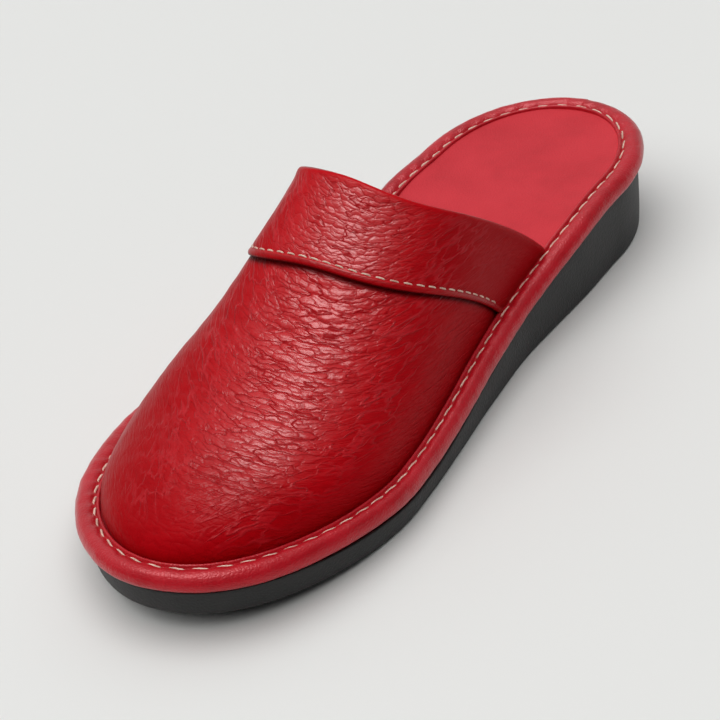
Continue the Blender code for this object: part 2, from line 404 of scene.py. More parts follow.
# Heights as multiples of the relief
DOME_ON_TOP = 2.3
DOME_ON_FLANK = 0.4
PEBBLE_DEPTH = 0.9
RIDGE_HEIGHT = 1.5
GAP_DEPTH = 0.8
PORE_HEIGHT = 0.16

# Painted shade in the gaps and at the seam, a painted highlight on the ridges, and how the tone
# deepens: partly burnish, partly painted shade
GAP_SHADE_ON_TOP = 0.42
GAP_SHADE_IN_GRAIN = 0.10
BURNISH_AND_SHADE_SHARE = 0.85
BURNISH_AND_SHADE_START = -0.16
PEBBLE_SHADE = 0.30
TINT_SHARE = 0.4
RIDGE_HIGHLIGHT = 0.17
GAP_SHADE_TONE = 0.35
SEAM_SHADE_TONE = 0.12

# Gloss
GAP_ROUGHNESS = 0.25
PORE_ROUGHNESS = 0.10
FLANK_COAT = 0.01
RIDGE_COAT = 0.14
GRAZING_COAT = 0.34
GRAZING_POWER = 5.0
GAP_DULLNESS = 1.8
COAT_ROUGHNESS = 0.32
DYE_REFLECTION = 0.06


def leather(name, body, deep, plate, roughness, relief, polish):
    """Tumbled red leather: domed plates between cracks with painted shade on top, ridges with a
    painted highlight on the flanks.

    plate is a plate's size over and along the foot and relief its height, in millimetres.
    polish is how much finish lies on the crest.
    """
    n = Nodes(name)
    uv = n.add("ShaderNodeTexCoord").outputs["UV"]
    top, fold, grain_share, seam = map(n.attribute, ("top", "fold", "grain", "seam"))
    warp = n.add("ShaderNodeVectorMath", operation="MULTIPLY_ADD")
    n.join(n.noise(uv, SWAY_SCALE, 2.0, 0.5, True, "Color"), warp.inputs[0])
    warp.inputs[1].default_value = SWAY_REACH
    n.join(uv, warp.inputs[2])
    folds = n.add("ShaderNodeCombineXYZ")
    n.join(n.attribute("across"), folds.inputs[0])
    n.join(n.attribute("folded"), folds.inputs[1])

    def stretched(wide, long, shift=0.0, source=warp):
        node = n.add("ShaderNodeMapping")
        node.inputs["Location"].default_value = (shift, shift, 0)
        node.inputs["Scale"].default_value = (1 / wide, 1 / long, 1.0)
        n.join(source.outputs[0], node.inputs["Vector"])
        return node.outputs[0]

    def eased(source, low, high, least=0.0):
        """Rises smoothly from least at low to 1 at high."""
        node = n.add("ShaderNodeMapRange", interpolation_type="SMOOTHSTEP")
        node.inputs["From Min"].default_value = low
        node.inputs["From Max"].default_value = high
        node.inputs["To Min"].default_value = least
        n.join(source, node.inputs["Value"])
        return node.outputs[0]

    def lines(place, thick):
        """Long wavy lines: where a noise crosses its middle."""
        off = n.math("ABSOLUTE", n.times(n.noise(place, 1.0, 2.2, 0.5, True), 6.0, -3.0))
        return n.math("SUBTRACT", 1.0, eased(off, 0.0, thick))

    def web(place, feature):
        node = n.add("ShaderNodeTexVoronoi", feature=feature, voronoi_dimensions="2D", in_Scale=1.0)
        node.inputs["Randomness"].default_value = 1.0
        n.join(place, node.inputs["Vector"])
        return node.outputs["Distance"]

    plates = stretched(*plate)
    pebbles = stretched(plate[0] * PEBBLE_SHARE[0], plate[1] * PEBBLE_SHARE[1], PEBBLE_SHIFT)
    dome = n.math("POWER", web(plates, "F1"), 2.0)
    pebble = n.math("POWER", web(pebbles, "F1"), 2.0)
    patch = eased(n.noise(uv, PATCH_SCALE, 2.0, 0.5, True), *PATCH_RANGE, PATCH_LEFT)
    ridge = [lines(stretched(wide, long, shift, folds), thick) for wide, long, shift, thick in RIDGES]
    ridge = n.math("MULTIPLY", n.math("MAXIMUM", *ridge), fold)
    ridge = n.math("MULTIPLY", ridge, patch)
    crack = lines(stretched(plate[0] * CRACK[0], plate[1] * CRACK[1], CRACK[2]), CRACK[3])
    edge = eased(web(plates, "DISTANCE_TO_EDGE"), 0.0, GAP_WIDTH)
    gap = n.math("MULTIPLY", n.math("SUBTRACT", 1.0, edge), patch)
    gap = n.math("MAXIMUM", n.math("MULTIPLY", gap, GAP_SHARE), crack)
    pore = n.noise(uv, PORE_SCALE, 3.0, 0.5, True)

    depth = n.times(grain_share, -DOME_ON_TOP * relief, -DOME_ON_FLANK * relief)
    height = n.math("MULTIPLY", dome, depth)
    height = n.times(pebble, -PEBBLE_DEPTH * relief, height)
    height = n.times(ridge, RIDGE_HEIGHT * relief, height)
    height = n.times(n.math("MULTIPLY", gap, grain_share), -GAP_DEPTH * relief, height)
    height = n.times(pore, PORE_HEIGHT * relief, height)
    grain = n.bump(height, 1.0, MM)
    n.join(grain, n.shader.inputs["Normal"])
    n.join(grain, n.shader.inputs["Coat Normal"])

    # Painted shade in the gaps between plates, strongest where the shine falls
    gap_shade = n.times(top, GAP_SHADE_ON_TOP, n.math("MULTIPLY", grain_share, GAP_SHADE_IN_GRAIN))
    gap_shade = n.math("MULTIPLY", gap, gap_shade)
    # The red deepens partly by burnish and partly by painted shade on the flanks and the toe's front
    deepen = n.times(n.attribute("burnish"), BURNISH_AND_SHADE_SHARE, BURNISH_AND_SHADE_START)
    deepen = n.times(pebble, PEBBLE_SHADE, deepen)
    deepen = n.times(n.noise(uv, TINT_SCALE, 3.0, 0.5, True), TINT_SHARE, deepen)
    tone = n.mix(deepen, body, deep)
    # Painted highlight along the fine ridges
    tone = n.mix(n.math("MULTIPLY", ridge, RIDGE_HIGHLIGHT), tone, RIDGE_HIGHLIGHT_TONE)
    # The gaps darkened with painted shade
    tone = n.mix(gap_shade, tone, tuple(c * GAP_SHADE_TONE for c in deep))
    # Painted shade at the seam under the cuff
    tone = n.mix(seam, tone, tuple(c * SEAM_SHADE_TONE for c in deep))
    n.join(tone, n.shader.inputs["Base Color"])

    rough = n.times(gap_shade, GAP_ROUGHNESS, roughness)
    n.join(n.times(pore, PORE_ROUGHNESS, rough), n.shader.inputs["Roughness"])
    grazing = n.add("ShaderNodeLayerWeight", in_Blend=0.5).outputs["Facing"]
    coat = n.times(top, polish, FLANK_COAT)
    coat = n.times(ridge, RIDGE_COAT, coat)
    coat = n.times(n.math("POWER", grazing, GRAZING_POWER), GRAZING_COAT, coat)
    coat = n.math("MULTIPLY", coat, n.times(gap_shade, -GAP_DULLNESS, 1.0))
    coat = n.math("MULTIPLY", coat, n.math("SUBTRACT", 1.0, seam))
    n.join(coat, n.shader.inputs["Coat Weight"])
    for socket, value in (
        ("Sheen Weight", 0.02),
        ("Sheen Roughness", 0.30),
        ("Sheen Tint", SHEEN_TINT),
        ("Specular IOR Level", DYE_REFLECTION),
        ("Specular Tint", DYE_TINT),
        ("Coat Roughness", COAT_ROUGHNESS),
    ):
        n.shader.inputs[socket].default_value = value
    return n.material


def plain_leather(name, tones, roughness, relief, coat=0.0):
    """Smooth leather with fine pores. tones runs from its low to its high patches."""
    n = Nodes(name)
    place = n.add("ShaderNodeTexCoord").outputs["Object"]
    broad = n.noise(place, 60.0, 4.0)
    fine = n.noise(place, 1500.0, 3.0)
    tone = n.ramp(broad, list(zip((0.3, 0.5, 0.72), tones)))
    n.join(tone, n.shader.inputs["Base Color"])
    rough = n.math("ADD", n.math("MULTIPLY", n.math("SUBTRACT", broad, 0.5), 0.3), roughness)
    n.join(rough, n.shader.inputs["Roughness"])
    pore = n.add("ShaderNodeTexVoronoi", feature="DISTANCE_TO_EDGE", in_Scale=900.0)
    n.join(place, pore.inputs["Vector"])
    edge = n.ramp(pore.outputs["Distance"], [(0.0, (0, 0, 0)), (0.25, (1, 1, 1))], "EASE")
    pores = n.bump(edge, relief, 0.12 * MM)
    both = n.bump(fine, 0.3, 0.1 * MM, pores)
    n.join(both, n.shader.inputs["Normal"])
    n.join(both, n.shader.inputs["Coat Normal"])
    n.shader.inputs["Specular Tint"].default_value = DYE_TINT
    n.shader.inputs["Coat Weight"].default_value = coat
    n.shader.inputs["Coat Roughness"].default_value = 0.34
    return n.material


def thread_look():
    n = Nodes("thread")
    place = n.add("ShaderNodeTexCoord").outputs["Object"]
    tone = n.ramp(n.noise(place, 300.0, 2.0), list(zip((0.3, 0.55, 0.8), THREAD_TONES)))
    n.join(tone, n.shader.inputs["Base Color"])
    n.join(n.bump(n.noise(place, 2500.0, 2.0), 0.4, 0.1 * MM), n.shader.inputs["Normal"])
    n.shader.inputs["Roughness"].default_value = 0.55
    n.shader.inputs["Sheen Weight"].default_value = 0.3
    return n.material


def rubber_look():
    n = Nodes("sole_rubber")
    place = n.add("ShaderNodeTexCoord").outputs["Object"]
    broad = n.noise(place, 80.0, 4.0)
    tone = n.ramp(broad, list(zip((0.3, 0.55, 0.8), RUBBER_TONES)))
    n.join(tone, n.shader.inputs["Base Color"])
    pebble = n.add("ShaderNodeTexVoronoi", in_Scale=1300.0)
    n.join(place, pebble.inputs["Vector"])
    pebbled = n.bump(pebble.outputs["Distance"], 0.6, 0.18 * MM)
    n.join(n.bump(n.noise(place, 400.0, 5.0), 0.35, 0.3 * MM, pebbled), n.shader.inputs["Normal"])
    rough = n.math("ADD", n.math("MULTIPLY", broad, 0.2), 0.48)
    n.join(rough, n.shader.inputs["Roughness"])
    return n.material


# Plate size over and along the foot, roughness, relief in millimetres, polish
upper_material = leather("upper_leather", RED, RED_DEEP, (6.0, 2.5), 0.36, 0.17, 0.94)
cuff_material = leather("cuff_leather", RED, RED_DEEP, (4.2, 1.7), 0.37, 0.095, 1.15)
wrap_material = plain_leather("platform_leather", WRAP_TONES, 0.38, 0.40, 0.42)
insole_material = plain_leather("insole_leather", SOCK_TONES, 0.62, 0.35)
lining_material = plain_leather("lining_leather", LINING_TONES, 0.70, 0.4)
thread_material = thread_look()
rubber_material = rubber_look()


# The upper's surface
ARCH_POWER = 2.17
TOE_CAP_POWER = 2.2
SIDE_FADE = 30.0
# Grids end this far behind the very front, in millimetres, where the form closes to a point
SLIVER = 0.001


def surface(y, turn, grow):
    """The upper's own form at station y and turn over the arch, moved outwards by grow."""
    station = y / STITCH_LENGTH
    power = 2 / smooth(CREST, 2, station)
    lift = np.abs(np.sin(turn)) ** power
    front = STITCH_LENGTH - UPPER_INSET + grow
    start = (1 - TOE_CAP_RUN) * STITCH_LENGTH
    cap = np.clip((y - start) / (front - start), 0, 1)
    rise = smooth(CREST, 1, station) * INSTEP_HEIGHT + grow
    rise = rise * np.sqrt(1 - cap ** TOE_CAP_POWER)
    across = np.cos(turn)
    side = np.sign(across)
    fade = np.clip((front - y) / SIDE_FADE, 0, 1)
    lean = smooth(CREST, 3, station) * BALL_WIDTH * fade
    x = middle(y) + half_width(y, grow - UPPER_INSET) * side * np.abs(across) ** power
    x = x + side * SIDE_FULLNESS_WIDTH * fade * np.abs(np.sin(2 * turn)) + lean * np.sin(turn) ** 2
    z = sole_top(y) + FLANGE_TOP + rise * lift
    return np.stack([x, y, z], axis=-1)


def arch_y(foot, crest, skew, turn):
    """Stations along an arch that stands at foot and crosses the crest at crest."""
    lift = np.abs(np.sin(turn)) ** (2 / ARCH_POWER)
    return foot + (crest - foot) * (1 - (1 - lift) ** OPENING_CURVE) - skew * np.cos(turn)


def band_y(share, turn):
    """Stations of a line on the cuff: share 0 is the throat's edge, 1 the cuff's lower edge."""
    foot = COLLAR_FOOT + (CUFF_FOOT - COLLAR_FOOT) * share
    crest = COLLAR_CREST + (CUFF_CREST - COLLAR_CREST) * share
    skew = COLLAR_SKEW + (CUFF_SKEW - COLLAR_SKEW) * share
    return arch_y(foot * STITCH_LENGTH, crest * STITCH_LENGTH, skew * STITCH_LENGTH, turn)


def vamp_grid(rows, columns, front, crowd):
    """Share of the way from the throat to the toe, turn and station.

    crowd closes the rows up towards the toe: 0 leaves them even.
    """
    k = np.linspace(0, 1, rows)
    share = (1 - crowd) * k + crowd * np.sin(np.pi / 2 * k)
    S, T = np.meshgrid(share, np.linspace(0, np.pi, columns), indexing="ij")
    foot = COLLAR_FOOT * STITCH_LENGTH * (1 - S) + front * S
    crest = COLLAR_CREST * STITCH_LENGTH * (1 - S) + front * S
    y = arch_y(foot, crest, COLLAR_SKEW * STITCH_LENGTH * (1 - S), T)
    return S, T, np.minimum(y, front - SLIVER)


def grid_normals(points):
    n = np.cross(np.gradient(points, axis=1), np.gradient(points, axis=0))
    return n / np.maximum(np.linalg.norm(n, axis=-1, keepdims=True), 1e-9)


def run_across(points):
    """Millimetres over the arch from its middle column, row by row."""
    step = np.linalg.norm(np.diff(points, axis=1), axis=-1)
    run = np.concatenate([np.zeros((len(points), 1)), np.cumsum(step, axis=1)], axis=1)
    return run - run[:, run.shape[1] // 2, None]


def grid_to_world(grid):
    return to_world(*np.moveaxis(grid.reshape(-1, 3), 1, 0))


# Soft creases laid across the vamp: how far along from the throat to the toe,
# middle over the arch (0 outer foot, 1 inner foot), half its length as a share of the
# arch, depth and width in millimetres
CREASES = (
    (0.155, 0.50, 0.16, 0.20, 1.5),
    (0.195, 0.42, 0.13, 0.24, 1.3),
    (0.215, 0.60, 0.12, 0.18, 1.6),
    (0.255, 0.50, 0.19, 0.30, 1.4),
    (0.290, 0.40, 0.12, 0.22, 1.5),
    (0.305, 0.58, 0.15, 0.26, 1.4),
    (0.345, 0.48, 0.20, 0.32, 1.5),
    (0.380, 0.62, 0.13, 0.22, 1.3),
    (0.395, 0.42, 0.14, 0.26, 1.6),
    (0.435, 0.52, 0.21, 0.34, 1.5),
    (0.475, 0.44, 0.15, 0.26, 1.4),
    (0.495, 0.60, 0.16, 0.24, 1.7),
    (0.530, 0.50, 0.20, 0.30, 1.6),
    (0.570, 0.42, 0.14, 0.24, 1.5),
    (0.590, 0.58, 0.15, 0.24, 1.6),
    (0.625, 0.50, 0.18, 0.26, 1.8),
    (0.670, 0.46, 0.14, 0.20, 1.7),
    (0.700, 0.56, 0.13, 0.18, 1.8),
    (0.745, 0.50, 0.14, 0.16, 2.0),
)
CREASE_SWAY = 1.6
# Of a crease's depth, how much its trough goes down and the ridges beside it rise, and
# how many of its widths away they lie
TROUGH = 0.6
RIDGE = 0.2
RIDGE_AWAY = 1.9
VAMP_RUN = 150.0
# Where the wrinkles turn, in millimetres over the arch from its middle, and how far they
# run back towards the heel on the two flanks
WRINKLE_MIDDLE = 7.0
WRINKLE_TURN_RUN = 28.0
WRINKLE_LEAN_OUTER = 0.9
WRINKLE_LEAN_INNER = 0.85
# The same for the fine ridges: straight for RIDGE_FLAT, their leans blended over RIDGE_BLEND
RIDGE_FLAT = 6.0
RIDGE_BLEND = 14.0
RIDGE_LEAN_OUTER = 1.4
RIDGE_LEAN_INNER = 1.0


def swept(u, v):
    """Moves v so that lines of equal v run back to the heel down both flanks."""
    off = u - WRINKLE_MIDDLE
    bend = np.abs(off) ** 3 / (off ** 2 + WRINKLE_TURN_RUN ** 2)
    return v + bend * np.where(off > 0, WRINKLE_LEAN_INNER, WRINKLE_LEAN_OUTER)


def folded(u, v):
    """The same for the fine ridges on the flanks."""
    off = u - WRINKLE_MIDDLE
    blend = ease(off, -RIDGE_BLEND, RIDGE_BLEND)
    lean = RIDGE_LEAN_OUTER + (RIDGE_LEAN_INNER - RIDGE_LEAN_OUTER) * blend
    bend = np.maximum(np.abs(off) - RIDGE_FLAT, 0.0)
    return (v + bend * lean) / np.sqrt(1 + lean ** 2)


def creases(along, turn):
    """Height of the laid creases: along in mm from the throat, turn over the arch."""
    share = turn / np.pi
    total = np.zeros(np.shape(along))
    for place, centre, reach, depth, wide in CREASES:
        sway = CREASE_SWAY * layered(share * 9.0, np.full_like(share, place * 40), 2.7)
        off = (along - place * VAMP_RUN - sway) / wide
        fade = bell(share, centre, reach, 4)
        total -= TROUGH * depth * bell(off, 0, 1) * fade
        total += RIDGE * depth * bell(np.abs(off), RIDGE_AWAY, 1) * fade
    return total


# Zones over the arch: turn of the middle and spread, in radians (0 outer foot, pi inner
# foot). The last zone is where the red is neither burnished nor deepened with painted shade.
UPPER_ZONES = {
    "shine": (1.86, 0.50),
    "grain": (1.85, 0.62),
    "outer folds": (1.18, 0.27),
    "inner folds": (2.46, 0.27),
    "full_red": (1.78, 0.72),
}
CUFF_ZONES = {
    "shine": (1.84, 0.46),
    "grain": (1.80, 0.68),
    "outer folds": (1.15, 0.27),
    "inner folds": (2.50, 0.32),
    "full_red": (1.75, 0.75),
}
SHINE_POWER = 2.8
GRAIN_POWER = 4
# The flanks' turns between which the red deepens further, partly burnish and partly painted shade
OUTER_FLANK = (1.45, 0.95)
INNER_FLANK = (2.1, 2.7)
# Zones of the vamp that fade in over these millimetres back from the toe's front
SHINE_RUN = (8.0, 40.0)
GRAIN_RUN = (6.0, 26.0)
FOLD_RUN = (3.0, 12.0)
FULL_RED_RUN = (0.0, 50.0)
FORM_RUN = (0.0, 5.0)
# Folds across the toe: share, run back from the front, half their run, turns they fade in over
TOE_FOLDS = (0.7, 15.0, 9.0, (1.3, 1.9))
# The painted shade line under the cuff's lower edge: darkness, where it starts, how far it runs
CUFF_SHADOW = (0.9, 0.2, 0.9)
# How far the leather goes down into the seam at its feet
UPPER_TUCK = 1.1
LINING_TUCK = 1.2


def shown(u, v, **zones):
    """A leather's attributes: its zones and the places of its patterns."""
    return {**zones, "across": u, "folded": folded(u, v)}


def make_upper():
    rows, columns = (330, 290) if FINE else (110, 97)
    front = STITCH_LENGTH - UPPER_INSET
    S, T, y = vamp_grid(rows, columns, front, 0.65)
    base = surface(y, T, 0.0)
    normal = grid_normals(base)
    if normal[rows // 3, columns // 2, 2] < 0:
        normal = -normal
    u = run_across(base)
    v = S * VAMP_RUN
    back = front - y
    zones = UPPER_ZONES
    top = bell(T, *zones["shine"], SHINE_POWER) * ease(back, *SHINE_RUN)
    grain = bell(T, *zones["grain"], GRAIN_POWER) * ease(back, *GRAIN_RUN)
    fold = bell(T, *zones["outer folds"]) + bell(T, *zones["inner folds"])
    share, place, reach, turns_in = TOE_FOLDS
    fold = np.maximum(fold, share * bell(back, place, reach) * ease(T, *turns_in))
    fold = fold * ease(back, *FOLD_RUN)
    # Painted shade on the vamp just under the cuff's lower edge
    darkness, away, reach = CUFF_SHADOW
    seam = darkness * bell(np.maximum(y - band_y(1.0, T) - away, 0), 0, reach)
    # Deeper red on the flanks and towards the toe's front: partly burnish, partly painted shade
    burnish = 1 - bell(T, *zones["full_red"]) * ease(back, *FULL_RED_RUN) + 0.20 * ease(T, *OUTER_FLANK)
    border = ease(back, *FORM_RUN) * ease(np.sin(T), 0.0, 0.10)
    broad = 0.35 * layered(u / 16.0, v / 12.0, 3.1) * ease(np.sin(T), 0.1, 0.5)
    outer = base + normal * ((creases(v, T) + broad) * border)[..., None]
    outer[:, (0, -1), 2] -= UPPER_TUCK
    uv = np.stack([u, swept(u, v)], axis=-1)
    attributes = shown(u, v, top=top, grain=grain, fold=fold, seam=seam, burnish=burnish)
    faces = grid_faces(rows, columns)[:, ::-1]
    return build("upper_shell", grid_to_world(outer), faces, upper_material, attributes, uv)


def make_lining():
    """The inside, one wall's thickness in from the upper."""
    rows, columns = (120, 90) if FINE else (60, 45)
    front = STITCH_LENGTH - UPPER_INSET - UPPER_WALL
    _, T, y = vamp_grid(rows, columns, front, 1.0)
    inner = surface(y, T, -UPPER_WALL)
    inner[..., 2] += 0.25 * layered(T * 6, y / 12, 5.0)
    inner[:, (0, -1), 2] -= LINING_TUCK
    return build("lining", grid_to_world(inner), grid_faces(rows, columns), lining_material)


upper_shell = make_upper()
lining = make_lining()

# The cuff's hem inside lies this share of its wall below the lining, and ends here
HEM_THICKNESS = 0.8
HEM_END = 0.24
# Its stitched channel: share of the way from the throat to the lower edge, half width, depth
STITCH_SHARE = 0.915
CHANNEL = (0.018, 0.22)


def cuff_section(band, outer, inner):
    """Share of the band and height over the upper, from lower edge over rim to hem."""
    hem = inner - CUFF_WALL * HEM_THICKNESS
    turned_edge = [
        (1.0 - 0.012, GAP * 0.3),
        (1.0 - 0.002, GAP + 0.35),
        (1.0 + 0.004, outer - 0.55),
        (1.0 - 0.006, outer - 0.12),
    ]
    outside = [(s, outer) for s in np.linspace(0.975, 0.0, 76 if FINE else 26)]
    rim = []
    for degrees in np.linspace(15, 165, 11):
        a = math.radians(degrees)
        out = -outer / band * 1.15 * math.sin(a)
        rim.append((out, (outer + hem) / 2 + (outer - hem) / 2 * math.cos(a)))
    inside = [(s, hem) for s in np.linspace(0.0, HEM_END, 12)]
    hem_end = [(HEM_END + 0.01, inner - CUFF_WALL * HEM_THICKNESS / 2), (HEM_END + 0.005, inner)]
    return np.array(turned_edge + outside + rim + inside + hem_end)


def make_cuff():
    """The band: up its outside from the turned lower edge, over the rim, down to the hem."""
    columns = 300 if FINE else 100
    band = (CUFF_CREST - COLLAR_CREST) * STITCH_LENGTH
    outer = GAP + CUFF_WALL
    share, grow = cuff_section(band, outer, -UPPER_WALL - GAP).T
    rows = len(share)
    S, T = np.meshgrid(share, np.linspace(0, np.pi, columns), indexing="ij")
    G = np.repeat(grow[:, None], columns, axis=1)
    y = band_y(S, T)
    base = np.stack([surface(y[k], T[k], grow[k]) for k in range(rows)])
    normal = np.stack([surface(y[k], T[k], grow[k] + 0.5) for k in range(rows)]) - base
    normal = normal / np.maximum(np.linalg.norm(normal, axis=-1, keepdims=True), 1e-9)
    u = run_across(base)
    v = S * 30.0 + 400.0
    outside = G > 0
    on = ease(S, -0.02, 0.06) * (1 - ease(S, 0.90, 0.96)) * outside
    zones = CUFF_ZONES
    top = bell(T, *zones["shine"], SHINE_POWER) * on
    top = np.maximum(top, 0.45 * bell(S, 0.955, 0.03) * (G > 0.8))
    grain = bell(T, *zones["grain"], GRAIN_POWER) * on
    fold = (bell(T, *zones["outer folds"]) + bell(T, *zones["inner folds"])) * on
    # Deeper red on the flanks and the turned lower edge: partly burnish, partly painted shade
    burnish = 1 - bell(T, *zones["full_red"])
    burnish = burnish + 0.4 * ease(T, *INNER_FLANK) + 0.35 * ease(T, *OUTER_FLANK)
    burnish = np.maximum(burnish, 1.05 * ease(S, 0.935, 0.965) * outside)
    # Painted shade on the turned edge's underside, where it tucks into the seam
    seam = 0.85 * (S > 0.98) * (G < outer - 0.2)
    # Soft waves, the stitched channel, and the roundness of the turned edge and of the rim
    width, depth = CHANNEL
    face = G > outer - 0.3
    relief = 0.25 * layered(u / 12.0, v / 9.0, 6.6) * on * ease(np.sin(T), 0.05, 0.3)
    relief = relief - depth * bell(S, STITCH_SHARE, width) * face
    relief = relief + 0.10 * bell(S, 0.962, 0.022) * face + 0.25 * bell(S, 0.02, 0.05) * outside
    form = base + normal * relief[..., None]
    form[..., 2] -= 0.25 * np.clip(1 - np.sin(T) / 0.06, 0, 1)
    uv = np.stack([u, swept(u, v)], axis=-1)
    attributes = shown(u, v, top=top, grain=grain, fold=fold, seam=seam, burnish=burnish)
    faces = grid_faces(rows, columns)
    return build("cuff_band", grid_to_world(form), faces, cuff_material, attributes, uv)


cuff_band = make_cuff()

# Stitches along the edge, and points round the stitch line
PITCH = 6.4
turns, around = even_turns(1440 if FINE else 480)
stitch_count = int(round(around / PITCH))

# The strip's stitched groove and inner margin: distance out from the stitch line and
# height over the sole's top, in millimetres
MARGIN = (
    (-0.30, 5.15),
    (-0.60, 5.02),
    (-0.80, 5.20),
    (-0.95, 5.75),
    (-1.15, 6.02),
    (-1.45, 6.10),
    (-1.75, 6.04),
    (-1.95, 5.75),
    (-2.02, 5.25),
    (-2.05, 4.35),
    (-2.6, 3.6),
    (-20.0, 3.4),
)
# Relief of the rolled edge in millimetres: gathers at each stitch, creases and soft waves
GATHER = 0.17
ROLL_CREASE = 0.13
ROLL_WAVE = 0.24


def make_wrap():
    """The wrapped platform: its rolled edge, the stitched groove and the strip's inner margin."""
    run = np.linspace(0, around, len(turns), endpoint=False)
    profile = [(-20.0, 0.3), (0.5, GAP)]
    for degrees in np.linspace(-78, 0, 8):
        a = math.radians(degrees)
        out = ROLL_OUT + ROLL_RADIUS * math.cos(a)
        profile.append((out, ROLL_UP + (ROLL_UP - GAP) * math.sin(a)))
    for degrees in np.linspace(8, 128, 17):
        a = math.radians(degrees)
        profile.append((ROLL_OUT + ROLL_RADIUS * math.cos(a), ROLL_UP + ROLL_RADIUS * math.sin(a)))
    profile += MARGIN
    phase = run / PITCH * 2 * np.pi
    points = []
    for k, (grow, height) in enumerate(profile):
        x, y = outline(grow, turns, True)
        z = sole_top(y) + height
        if k > 1 and grow > -3:
            on_roll = ease(grow, -0.2, 1.2)
            gather = GATHER * np.cos(phase) * bell(grow, 0.4, 1.5)
            crease = ROLL_CREASE * layered(run / 3.2, np.full_like(run, grow / 3.0), 6.1)
            wave = ROLL_WAVE * layered(run / 22.0, np.full_like(run, grow / 9.0), 2.4)
            relief = (crease + wave) * on_roll
            z = z - gather * (height > 4) + relief * (height > ROLL_UP)
            push = relief * (height <= ROLL_UP + 2.5)
            x2, y2 = outline(grow + 1.0, turns, grow > 0)
            x = x + (x2 - x) * push
            y = y + (y2 - y) * push
        points.append(to_world(x, y, z))
    points = np.array(points).reshape(-1, 3)
    faces = grid_faces(len(profile), len(turns), wrap=True)
    return build("platform_wrap", points, faces, wrap_material)


platform_wrap = make_wrap()


def foot_grid(rows, columns, edge):
    """A grid inside the outline moved outwards by edge: x, y and share A of the half width."""
    turn = np.linspace(0, np.pi, rows)
    y = STITCH_LENGTH / 2 - (STITCH_LENGTH / 2 + edge) * np.cos(turn)
    across = np.sin(np.linspace(-np.pi / 2, np.pi / 2, columns))
    Y, A = np.meshgrid(y, across, indexing="ij")
    return middle(Y) + half_width(Y, edge) * A, Y, A


SOCK_EDGE = -0.9
SOCK_LIFT = 0.28
# Hollow under the heel: depth, place and half length
HEEL_CUP = (0.9, 42.0, 34.0)
# The sock rises to the strip at the heel: height, distance from its edge, where it fades
SOCK_RIM = (0.85, 5.0, (55.0, 80.0))


def make_insole():
    """The sock leather: a grid across the foot, slightly cupped at the heel."""
    rows, columns = (260, 90) if FINE else (90, 32)
    X, Y, A = foot_grid(rows, columns, SOCK_EDGE)
    side = np.abs(A)
    depth, place, reach = HEEL_CUP
    cup = depth * bell(Y, place, reach) * (1 - side ** 2.4)
    wave = 0.16 * layered(X / 17.0, Y / 17.0, 4.4) + 0.07 * layered(X / 5.0, Y / 5.0, 9.2)
    height, reach, fades = SOCK_RIM
    from_edge = np.minimum(half_width(Y, SOCK_EDGE) * (1 - side), Y - SOCK_EDGE)
    rim = height * bell(from_edge, 0, reach) * (1 - ease(Y, *fades))
    Z = sole_top(Y) + INSOLE_TOP + SOCK_LIFT - cup + rim + wave * (1 - side ** 4)
    points = to_world(X.ravel(), Y.ravel(), Z.ravel())
    return build("insole_sock", points, grid_faces(rows, columns), insole_material)


insole_sock = make_insole()

# The sole's rounded upper edge, and its tread: depth, pitch and zigzag of the ribs, margin
# at the sole's edge, and the smooth waist's place and half length
SOLE_TOP_EDGE = 0.5
TREAD_DEPTH = 0.8
TREAD_PITCH = 6.0
TREAD_ZIGZAG = (5.0, 11.0)
TREAD_MARGIN = (5.0, 6.0)
WAIST_PLACE = 98.0
WAIST_HALF = (20.0, 23.0)


def make_outsole():
    """The wedge: a fine-walled shell with a rounded lower edge and a treaded underside."""
    wall = SOLE_OVERHANG - SOLE_FLARE_IN
    rows = []
    for a in np.radians(np.linspace(0, 90, 6)):
        rows.append((wall - SOLE_EDGE * (1 - math.sin(a)), "low", SOLE_EDGE * (1 - math.cos(a))))
    for s in np.linspace(0.12, 0.9, 12):
        rows.append((wall + SOLE_FLARE_IN * math.sin(s * math.pi / 2) ** 0.8, "share", s))
    for a in np.radians(np.linspace(0, 90, 4)):
        inward = SOLE_TOP_EDGE * (1 - math.cos(a))
        rows.append((SOLE_OVERHANG - inward, "high", SOLE_TOP_EDGE * (math.sin(a) - 1)))
    rows += [(-2.0, "high", 0.0), (-20.0, "high", 0.0)]
    points = []
    for grow, kind, value in rows:
        x, y = outline(grow, turns)
        low = sole_bottom(y)
        high = sole_top(y)
        if kind == "low":
            z = low + value
        elif kind == "high":
            z = high + value
        else:
            z = low + SOLE_EDGE + (high - SOLE_TOP_EDGE - low - SOLE_EDGE) * value
        points.append(to_world(x, y, z))
    faces = grid_faces(len(rows), len(turns), wrap=True)
    points = np.array(points).reshape(-1, 3)
    shell = build("outsole_wall", points, faces, rubber_material, sharp=50)

    rows, columns = (420, 130) if FINE else (160, 48)
    edge = wall - SOLE_EDGE
    X, Y, A = foot_grid(rows, columns, edge)
    from_ends = np.minimum(Y + edge, STITCH_LENGTH + edge - Y)
    inside = np.minimum(half_width(Y, edge) * (1 - np.abs(A)), from_ends)
    rise, wide = TREAD_ZIGZAG
    zigzag = rise * np.abs((X / wide) % 2 - 1)
    ribs = np.abs(((Y + zigzag) / TREAD_PITCH) % 1 - 0.5) * 2
    field = ease(inside, *TREAD_MARGIN) * ease(np.abs(Y - WAIST_PLACE), *WAIST_HALF)
    Z = sole_bottom(Y) + TREAD_DEPTH * ease(ribs, 0.55, 0.75) * field
    points = to_world(X.ravel(), Y.ravel(), Z.ravel())
    faces = grid_faces(rows, columns)[:, ::-1]
    return shell, build("outsole_tread", points, faces, rubber_material, sharp=35)


outsole_wall, outsole_tread = make_outsole()


